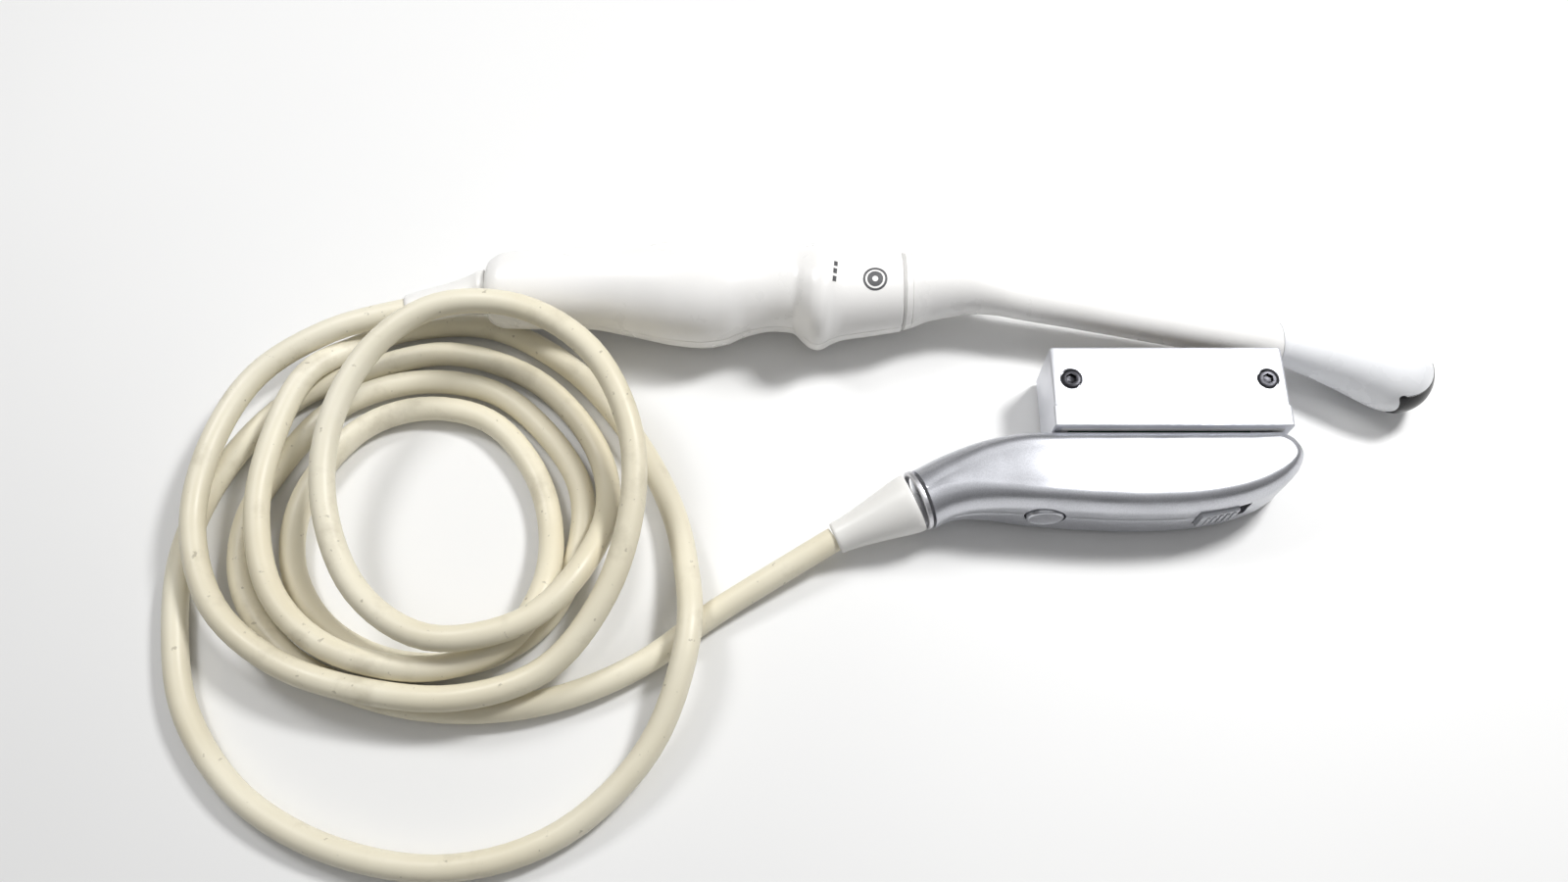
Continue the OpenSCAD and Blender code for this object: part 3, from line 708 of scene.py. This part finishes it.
# ---- connector body ------------------------------------------------------------
SPLIT_Z = 12.5
NEAR = [
    (4.2, -64.2), (9, -61.8), (15, -60.5), (24, -60.4), (36, -61.3), (50, -62.3), (64, -62.7), (78, -62.1),
    (90, -60.1), (99, -57.2), (105.3, -53.6), (109.4, -49.6),
]
RIGHT = [(109.4, -49.6), (111.2, -45.6), (110.6, -42.4), (108.9, -39.9)]
FAR = [
    (108.9, -39.9), (106.4, -38.3), (103.6, -37.8), (92, -37.8), (80, -37.8), (68, -37.8), (54, -37.8),
    (40, -37.8), (28, -38), (17, -39.6), (6, -43.4), (-2.6, -47.8),
]
LONG, SHORT = 84, 14


def resampled(points, n):
    """n + 1 points at equal distances along a smooth curve through the points."""
    fine = curve_through([Vector((*p, 0)) for p in points], 24)
    lengths = [0.0]
    for a, b in zip(fine, fine[1:]):
        lengths.append(lengths[-1] + (b - a).length)
    found, i = [], 0
    for k in range(n + 1):
        goal = lengths[-1] * k / n
        while i < len(fine) - 2 and lengths[i + 1] < goal:
            i += 1
        span = max(lengths[i + 1] - lengths[i], 1e-9)
        found.append(fine[i].lerp(fine[i + 1], (goal - lengths[i]) / span))
    return found


def body_outline():
    """The body's outline without its neck end, from the near neck corner round to the far one."""
    return resampled(NEAR, LONG)[:-1] + resampled(RIGHT, SHORT)[:-1] + resampled(FAR, LONG)


OUTLINE = body_outline()
# the body's middle line, towards which its edges roll in
SPINE = [(0.8, -56), (10, -51.8), (20, -50), (98, -49)]


def nearest_on_spine(p):
    """The point of the middle line that is nearest to p."""
    best = None
    for (x0, y0), (x1, y1) in zip(SPINE, SPINE[1:]):
        a, d = Vector((x0, y0, 0)), Vector((x1 - x0, y1 - y0, 0))
        q = a + d * min(1.0, max(0.0, (p - a).dot(d) / d.length_squared))
        if best is None or (p - q).length < (p - best).length:
            best = q
    return best


def outline_normals():
    """Directions straight away from the middle line, smoothed along the outline."""
    raw = [(p - nearest_on_spine(p)).normalized() for p in OUTLINE]
    found = []
    for i in range(len(raw)):
        reach = min(7, i, len(raw) - 1 - i)
        found.append(sum(raw[i - reach : i + reach + 1], Vector()).normalized())
    return found


NORMALS = outline_normals()


def height_k(x):
    """How much of its full height the body has at x: less towards the neck."""
    return mix(0.74, 1.0, smooth(max(0.0, x) / 38))


BODY_HALF_H = 12.5
COVER_WALL = 2.0
COVER_GROOVE = 0.08
COVER_GAP = 0.02
CROWN = 0.45
STRAIGHT = 0.3
# how far the edge rolls in and down, above and below the split, and how far in at the neck
ROLL_IN, ROLL_H, NECK_ROLL_IN = {1: 4.6, -1: 3.0}, {1: 7.6, -1: 4.0}, 8.3
NECK_FROM, NECK_REACH = -2, 36
NECK_AXIS = Vector((math.cos(math.radians(23)), math.sin(math.radians(23)), 0))


def body_level(up, wall, t):
    """One ring of the body: t from 0 at the split to 1 at the edge of the flat face."""
    floor = BODY_HALF_H - wall * 1.1
    ring = []
    for p, n in zip(OUTLINE, NORMALS):
        neck = 1 - smooth((p.x - NECK_FROM) / NECK_REACH)
        roll_in = mix(ROLL_IN[up], NECK_ROLL_IN - wall, neck)
        roll_h = mix(ROLL_H[up], floor, neck)
        if t <= STRAIGHT:
            inset, rise = 0.0, (floor - roll_h) * t / STRAIGHT
        else:
            a = (t - STRAIGHT) / (1 - STRAIGHT) * math.pi / 2
            inset, rise = roll_in * (1 - math.cos(a)), floor - roll_h + roll_h * math.sin(a)
        edge = COVER_GROOVE * (t == 0.0) * (wall == 0)
        q = p - n * (inset + wall + edge)
        ring.append(Vector((q.x, q.y, SPLIT_Z + up * (rise + COVER_GAP * (t == 0.0)) * height_k(p.x))))
    if wall:
        ring = [p + NECK_AXIS * wall * max(0.0, 1 - abs(p.x) / 20) for p in ring]
    a, b = ring[-1], ring[0]
    return ring + [a.lerp(b, k / SHORT) for k in range(1, SHORT)]


def face_patch(ring, crown):
    """The flat face inside a ring, as a grid of four sides with a slight crown."""
    near = ring[: LONG + 1]
    right = ring[LONG : LONG + SHORT + 1]
    far = list(reversed(ring[LONG + SHORT : 2 * LONG + SHORT + 1]))
    left = [ring[0]] + list(reversed(ring[2 * LONG + SHORT :]))
    verts, faces = [], []
    for i in range(LONG + 1):
        u = i / LONG
        for j in range(SHORT + 1):
            v = j / SHORT
            flat = (
                near[i] * (1 - v) + far[i] * v + left[j] * (1 - u) + right[j] * u
                - near[0] * (1 - u) * (1 - v) - near[-1] * u * (1 - v) - far[0] * (1 - u) * v - far[-1] * u * v
            )
            lift = Vector((0, 0, crown * smooth(16 * u * (1 - u) * v * (1 - v))))
            verts.append(flat + lift)
    for i in range(LONG):
        for j in range(SHORT):
            a = i * (SHORT + 1) + j
            faces.append((a, a + SHORT + 1, a + SHORT + 2, a + 1))
    return verts, faces


def cover_half(up):
    """One closed half of the body: outer and inner walls, joined along the split."""
    levels = [0.0, 0.02, 0.15, STRAIGHT] + [STRAIGHT + (1 - STRAIGHT) * k / 12 for k in range(1, 13)]
    outer = [body_level(up, 0.0, t) for t in levels]
    inner = [body_level(up, COVER_WALL, t) for t in levels]
    skin = loft(list(reversed(inner)) + outer, caps=False)
    crown = CROWN if up > 0 else 0.0
    return joined(skin, face_patch(outer[-1], crown), face_patch(inner[-1], crown))


BUTTON = place(36, -61.3, SPLIT_Z) @ Matrix.Rotation(math.radians(-90), 4, "X")
SLIDER = place(86, -61, SPLIT_Z, 13)
NECK = place(0, -56, SPLIT_Z, 23, -90)
CASE_HOLES = [(37.5, -42.2), (104.6, -46), (62, -57)]


def make_covers(mats):
    silver = mats["silver_cover"]
    nose_window = box_part(43, 103.2, -45, -33, 5, 21)
    button_hole = moved(revolve([(6.0, -4), (6.0, 6)], 72), BUTTON)
    slider_slot = moved(box_part(-6.35, 9.75, -5, 5, -4.35, 4.35), SLIDER)
    openings = (nose_window, button_hole, slider_slot)
    top = make("cover_top", cover_half(1), silver, ["connector_upper_cover"])
    for opening in openings:
        cut(top, opening)
    bottom = make("cover_bottom", cover_half(-1), silver, ["connector_lower_cover"])
    for opening in openings:
        cut(bottom, opening)
    for x, y in CASE_HOLES:
        cut(bottom, moved(revolve([(2.3, -1), (2.3, 2.6), (1.5, 2.65), (1.5, 6)], 40), place(x, y, 0)))


NOSE_X, NOSE_Z = 73.5, 13.0
NOSE_SCREW_X, NOSE_SCREW_Y, NOSE_SCREW_Z = (44.6, 102.6), -22.5, 23.7


def make_nose(mats):
    # each ring: place along Y, half width, half height, corner radius
    stations = [
        (-37.65, 34.5, 11.5, 1.0), (-37.4, 34.9, 11.9, 1.3), (-31.3, 34.9, 11.9, 1.3),
        (-31.05, 34.72, 11.72, 1.2), (-30.9, 34.5, 11.5, 1.1), (-12.9, 34.5, 11.5, 1.1),
        (-12.4, 34.35, 11.35, 1.0), (-12.1, 34.05, 11.05, 0.9), (-12, 33.7, 10.7, 0.8),
        (-12, 33.1, 10.1, 0.6), (-12.3, 32.9, 9.9, 0.5), (-35.3, 32.9, 9.9, 0.5),
        (-35.5, 30.8, 7.6, 0.5), (-37.65, 30.8, 7.6, 0.5),
    ]
    rings = [
        [Vector((NOSE_X + a, y, NOSE_Z + b)) for a, b in rounded_rect(w, h, r)] for y, w, h, r in stations
    ]
    block = loft(rings, caps=False, closed_rows=True)
    nose = make("nose_block", block, mats["nose_metal"], ["nose_housing"], 25)
    recess = [(1.65, 20), (1.65, 23.65), (3.2, 23.7), (3.2, 24.3), (3.5, 24.6), (3.5, 26)]
    heads = []
    for x in NOSE_SCREW_X:
        cut(nose, moved(revolve(recess, 48), place(x, NOSE_SCREW_Y, 0)), sharp=25)
        heads.append(moved(socket_screw(), place(x, NOSE_SCREW_Y, NOSE_SCREW_Z)))
    make("socket_screws", joined(*heads), mats["black_steel"], ["nose_screws"], 30)


def socket_screw(n=48):
    """A cap screw with a hexagon socket, its head standing on z 0."""
    def hexagon(apothem, z):
        ring = []
        for k in range(n):
            a = 2 * math.pi * k / n
            r = apothem / math.cos((a + math.pi / 6) % (math.pi / 3) - math.pi / 6)
            ring.append(Vector((r * math.cos(a), r * math.sin(a), z)))
        return ring

    outside = [
        (1.2, -3.2), (1.45, -2.95), (1.45, 0), (2.9, 0), (2.98, 0.1), (2.98, 0.75), (2.9, 0.92), (2.72, 1.0),
        (1.9, 1.0),
    ]
    socket = [(1.42, 0.98), (1.3, 0.85), (1.3, 0.12), (0.5, 0.02)]
    return loft([circle(r, z, n) for r, z in outside] + [hexagon(r, z) for r, z in socket])


def make_neck(mats):
    collar = [
        (7.7, 0.0), (8.75, 0.0), (8.95, 0.15), (9.0, 0.5), (9.0, 0.9), (8.95, 1.25), (8.7, 1.4), (7.7, 1.4),
    ]
    make("neck_collar", moved(ring_solid(collar), NECK), mats["collar_satin"], ["neck_ring"])
    boot = [
        (0.02, -0.3), (6.0, -0.3), (6.15, -0.2), (6.15, 0), (8.6, 0.15), (8.8, 0.5), (8.8, 1.6), (8.72, 2.4),
        (8.45, 4), (8.0, 6.2), (7.45, 8.8), (6.85, 11.6), (6.2, 14.8), (5.6, 18), (5.1, 21), (4.85, 23.4),
        (4.8, 24.6), (4.7, 25.2), (4.4, 25.5), (3.8, 25.6), (0.02, 25.6),
    ]
    where = NECK @ Matrix.Translation((0, 0, 1.9)) @ Matrix.Rotation(math.radians(-10), 4, "Y")
    make(
        "connector_boot_skin", moved(revolve(refine(boot, 2), 80), where), mats["boot_white"],
        ["connector_boot"],
    )


def make_button(mats):
    cap = [
        (0.02, 4.6), (2.3, 4.6), (2.4, 4.5), (2.4, 3.5), (5.2, 3.5), (5.35, 3.35), (5.4, 3.1), (5.4, -0.45),
        (5.3, -0.72), (5.05, -0.88), (4.7, -0.9), (4.4, -0.82), (3.6, -0.66), (2.4, -0.54), (1.2, -0.48),
        (0.02, -0.46),
    ]
    make(
        "button_cap", moved(revolve(cap, 72), BUTTON), mats["silver_cover"], ["release_button"],
        body="button",
    )


SPRING_TURNS, SPRING_PER_TURN, SPRING_R, SPRING_WIRE_R = 3.2, 26, 1.85, 0.27
SPRING_FROM, SPRING_TO = 5.0, 6.7


def make_spring(mats):
    steps_in_all = SPRING_TURNS * SPRING_PER_TURN
    helix = []
    for k in range(int(steps_in_all) + 1):
        a = 2 * math.pi * k / SPRING_PER_TURN
        height = mix(SPRING_FROM, SPRING_TO, k / steps_in_all)
        helix.append(Vector((SPRING_R * math.cos(a), SPRING_R * math.sin(a), height)))
    coil = moved(tube_along(helix, SPRING_WIRE_R, 10), BUTTON)
    spring = make("spring_coil", coil, mats["steel"], ["button_spring"])
    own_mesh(spring)


def make_connector(mats):
    make_covers(mats)
    make_nose(mats)
    make_neck(mats)
    make_button(mats)
    slider = moved(slider_part(), SLIDER)
    make("slider_grip", slider, mats["slider_grey"], ["lock_slider"], 25, "slider")
    make_spring(mats)


def slider_part():
    """A ribbed sliding key with soft edges, its face towards -Y."""
    def block(x0, x1, y0, y1, z0, z1, r):
        cx, cz = (x0 + x1) / 2, (z0 + z1) / 2
        rings = []
        for y, s in ((y1, 0.0), (y0 + 0.3, 0.0), (y0 + 0.08, 0.1), (y0, 0.3)):
            k = rounded_rect((x1 - x0) / 2 - s, (z1 - z0) / 2 - s, max(r - s, 0.05))
            rings.append([Vector((cx + a, y, cz + b)) for a, b in k])
        return loft(rings)

    parts = [block(-6, 6, -1.0, 2.0, -4, 4, 0.5)]
    for k in range(5):
        x = -4 + 2 * k
        parts.append(block(x - 0.1, x + 0.9, -1.4, -0.95, -3, 3, 0.3))
    return joined(*parts)


# ---- carried-over nodes, floor and light -------------------------------------------
def dress_nodes(mats):
    for part in frame["record"]["subparts"]:
        node = frame["nodes"][part["node"]]
        node.data.materials.clear()
        node.data.materials.append(mats[part["material_slot"]])


FLOOR_HALF, FLOOR_Z = 3.0, -0.0002


def make_stage():
    s = Shader("floor_pale", 0.55)
    s.colour(s.ramp(s.noise(3, 3), [(0.3, (0.80, 0.80, 0.795)), (0.7, (0.84, 0.84, 0.835))]))
    s.bump((s.noise(300, 2), 0.05, 0.0001))
    mesh = bpy.data.meshes.new("floor")
    e, z = FLOOR_HALF, FLOOR_Z
    mesh.from_pydata([(-e, -e, z), (e, -e, z), (e, e, z), (-e, e, z)], [], [(0, 1, 2, 3)])
    mesh.materials.append(s.material)
    floor = bpy.data.objects.new("floor", mesh)
    bpy.context.scene.collection.objects.link(floor)


def area_light(name, location, size, power, target=(-0.03, -0.05, 0.0)):
    data = bpy.data.lights.new(name, "AREA")
    data.size = size
    data.energy = power
    light = bpy.data.objects.new(name, data)
    light.location = location
    light.rotation_euler = (Vector(target) - Vector(location)).to_track_quat("-Z", "Y").to_euler()
    bpy.context.scene.collection.objects.link(light)


def make_world():
    """A pale room, darker towards its walls so that metal edges read."""
    world = bpy.data.worlds.new("soft_room")
    bpy.context.scene.world = world
    world.use_nodes = True
    nodes, links = world.node_tree.nodes, world.node_tree.links
    nodes.clear()
    out = nodes.new("ShaderNodeOutputWorld")
    back = nodes.new("ShaderNodeBackground")
    back.inputs["Strength"].default_value = 0.22
    ramp = nodes.new("ShaderNodeValToRGB")
    split = nodes.new("ShaderNodeSeparateXYZ")
    where = nodes.new("ShaderNodeTexCoord")
    stops = [(0.0, 0.30), (0.25, 0.34), (0.55, 0.95), (1.0, 1.0)]
    while len(ramp.color_ramp.elements) < len(stops):
        ramp.color_ramp.elements.new(0.5)
    for element, (at, level) in zip(ramp.color_ramp.elements, stops):
        element.position = at
        element.color = (level, level, level * 1.01, 1)
    links.new(where.outputs["Generated"], split.inputs[0])
    links.new(split.outputs["Z"], ramp.inputs["Fac"])
    links.new(ramp.outputs["Color"], back.inputs["Color"])
    links.new(back.outputs["Background"], out.inputs["Surface"])


def make_light():
    make_world()
    area_light("ceiling", (0.0, 0.0, 3.0), 4.0, 18.0)
    area_light("key_right", (0.34, 0.22, 0.62), 0.14, 4.6)
    area_light("key_left", (-0.42, 0.26, 0.62), 0.2, 1.8)


make_camera()
MATS = make_materials()
cable, cable_path = make_cable(MATS)
make_probe(MATS)
make_print(MATS)
make_connector(MATS)
dress_nodes(MATS)
make_stage()
make_light()

bpy.context.scene.view_settings.view_transform = "Standard"
